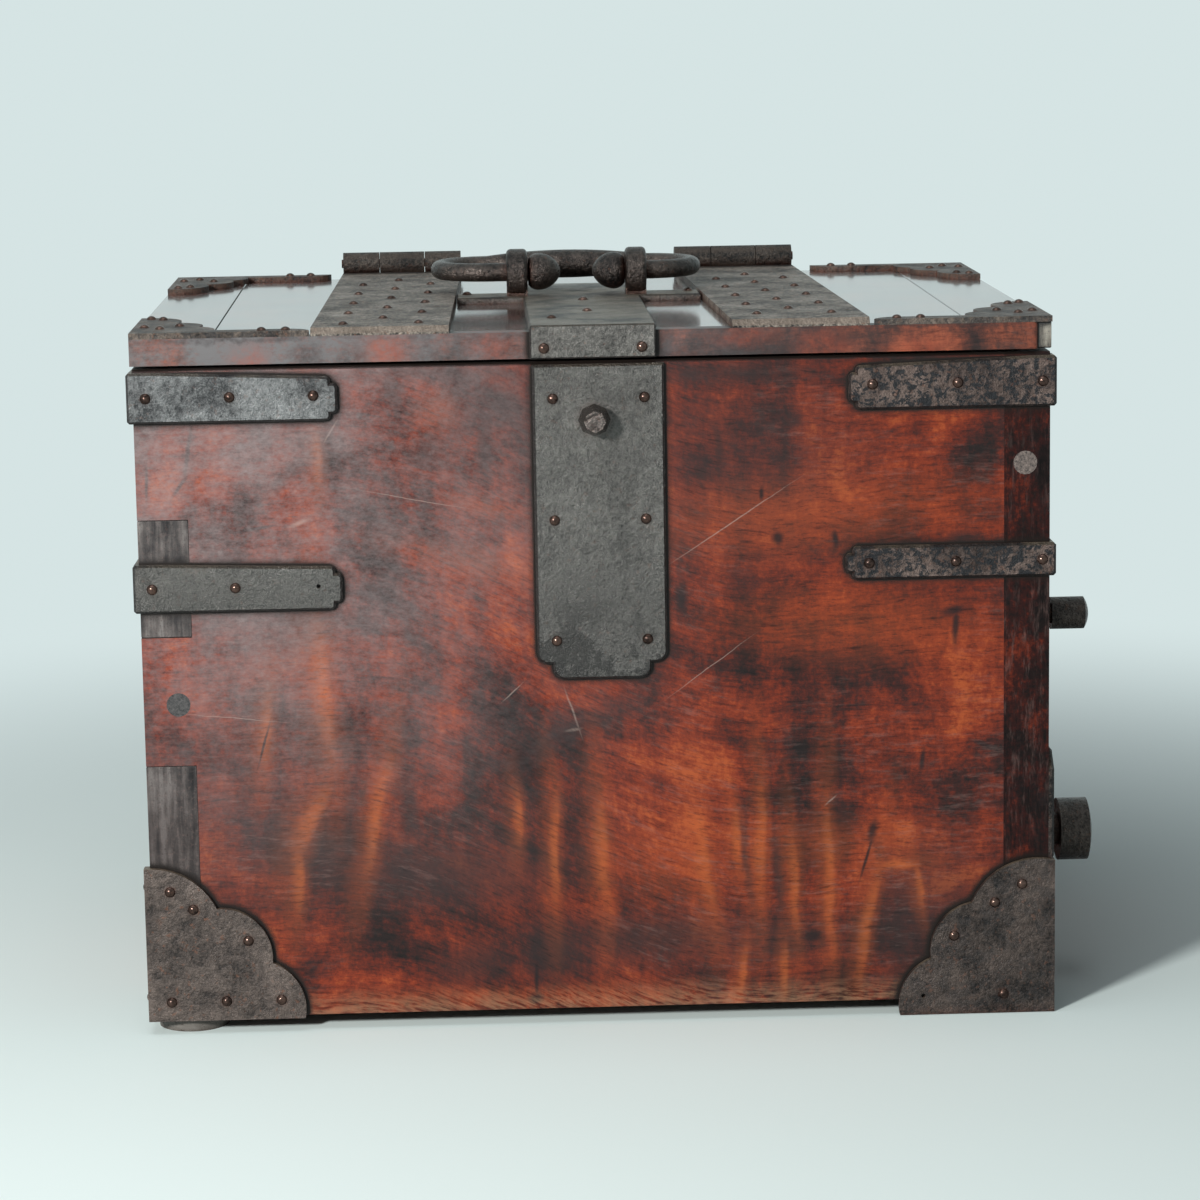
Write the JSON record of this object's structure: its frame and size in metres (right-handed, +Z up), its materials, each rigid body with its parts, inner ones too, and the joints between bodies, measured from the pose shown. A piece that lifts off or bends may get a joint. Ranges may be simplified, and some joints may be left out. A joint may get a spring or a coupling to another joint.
{
  "type": "ship chest",
  "caption": "Wooden ship chest with iron corner straps, hinged lid with carrying bail, lock plate with turning latch, top till and drawers in one end.",
  "frame": {"origin": "on the floor, under the middle of the wooden case", "axes": "+Z up, +X to the right along the long front (towards the drawer end), +Y from the front to the hinged back"},
  "size_m": [0.4977, 0.3688, 0.3857],
  "materials": {
    "lacquered_wood": "worn lacquer",
    "lid_wood": "polished lacquer",
    "plain_wood": "bare",
    "dark_plug": "bare end grain",
    "blackened_iron": "hammered",
    "rusted_iron": "hammered, rusted",
    "forged_iron": "forged",
    "nail_iron": "rusted domes",
    "knob_iron": "forged"
  },
  "bodies": {
    "case": {"back_board": "lacquered_wood", "back_leaf_left": "blackened_iron", "back_leaf_nails": "nail_iron", "back_leaf_right": "blackened_iron", "bottom_board": "plain_wood", "corner_iron_back_left": "rusted_iron", "corner_iron_back_right": "rusted_iron", "corner_iron_front_left": "rusted_iron", "corner_iron_front_right": "rusted_iron", "corner_iron_nails": "nail_iron", "drawer_divider": "plain_wood", "drawer_guides": "plain_wood", "feet": "plain_wood", "front_board": "lacquered_wood", "front_stile": "lacquered_wood", "hinge_pins": "blackened_iron", "jamb_plates": "rusted_iron", "joint_plugs": "dark_plug", "left_end_board": "lacquered_wood", "lock_plate": "blackened_iron", "lock_plate_nails": "nail_iron", "rear_stile": "lacquered_wood", "strap_nails": "nail_iron", "till_end_board": "lacquered_wood", "till_floor": "plain_wood", "upper_strap_back_left": "blackened_iron", "upper_strap_back_right": "blackened_iron", "upper_strap_front_left": "blackened_iron", "upper_strap_front_right": "blackened_iron", "waist_strap_back_left": "blackened_iron", "waist_strap_back_right": "blackened_iron", "waist_strap_front_left": "blackened_iron", "waist_strap_front_right": "blackened_iron"},
    "lid": {"lid_front_rail": "lid_wood", "lid_panel": "lid_wood", "lid_batten_left": "lid_wood", "lid_batten_right": "lid_wood", "lid_iron_front_left": "blackened_iron", "lid_iron_front_right": "blackened_iron", "lid_iron_back_left": "blackened_iron", "lid_iron_back_right": "blackened_iron", "lid_centre_plate": "blackened_iron", "hinge_strap_left": "blackened_iron", "hinge_strap_right": "blackened_iron", "bail_post_left": "forged_iron", "bail_post_right": "forged_iron", "lid_nails": "nail_iron", "latch_keeper": "blackened_iron"},
    "bail": {"bail": "forged_iron"},
    "latch": {"latch_knob": "forged_iron", "latch_cam": "forged_iron", "latch_nut": "forged_iron"},
    "upper_drawer": {"upper_drawer_bottom": "plain_wood", "upper_drawer_frame": "plain_wood", "upper_drawer_front": "lacquered_wood", "upper_drawer_knobs": "knob_iron"},
    "lower_drawer": {"lower_drawer_bottom": "plain_wood", "lower_drawer_frame": "plain_wood", "lower_drawer_front": "lacquered_wood", "lower_drawer_knobs": "knob_iron"}
  },
  "joints": [
    {"name": "lid_hinge", "type": "hinge", "parent": "case", "child": "lid", "pos_m": [0, 0.1725, 0.366], "axis": [-1, 0, 0], "range_deg": [0, 110]},
    {"name": "bail_hinge", "type": "hinge", "parent": "lid", "child": "bail", "pos_m": [0, 0, 0.3732], "axis": [1, 0, 0], "range_deg": [-3, 183]},
    {"name": "latch_turn", "type": "hinge", "parent": "case", "child": "latch", "pos_m": [0, -0.15, 0.313], "axis": [0, 1, 0], "range_deg": [0, 90]},
    {"name": "upper_drawer_slide", "type": "slide", "parent": "case", "child": "upper_drawer", "axis": [1, 0, 0], "range_m": [0, 0.3]},
    {"name": "lower_drawer_slide", "type": "slide", "parent": "case", "child": "lower_drawer", "axis": [1, 0, 0], "range_m": [0, 0.3]}
  ]
}
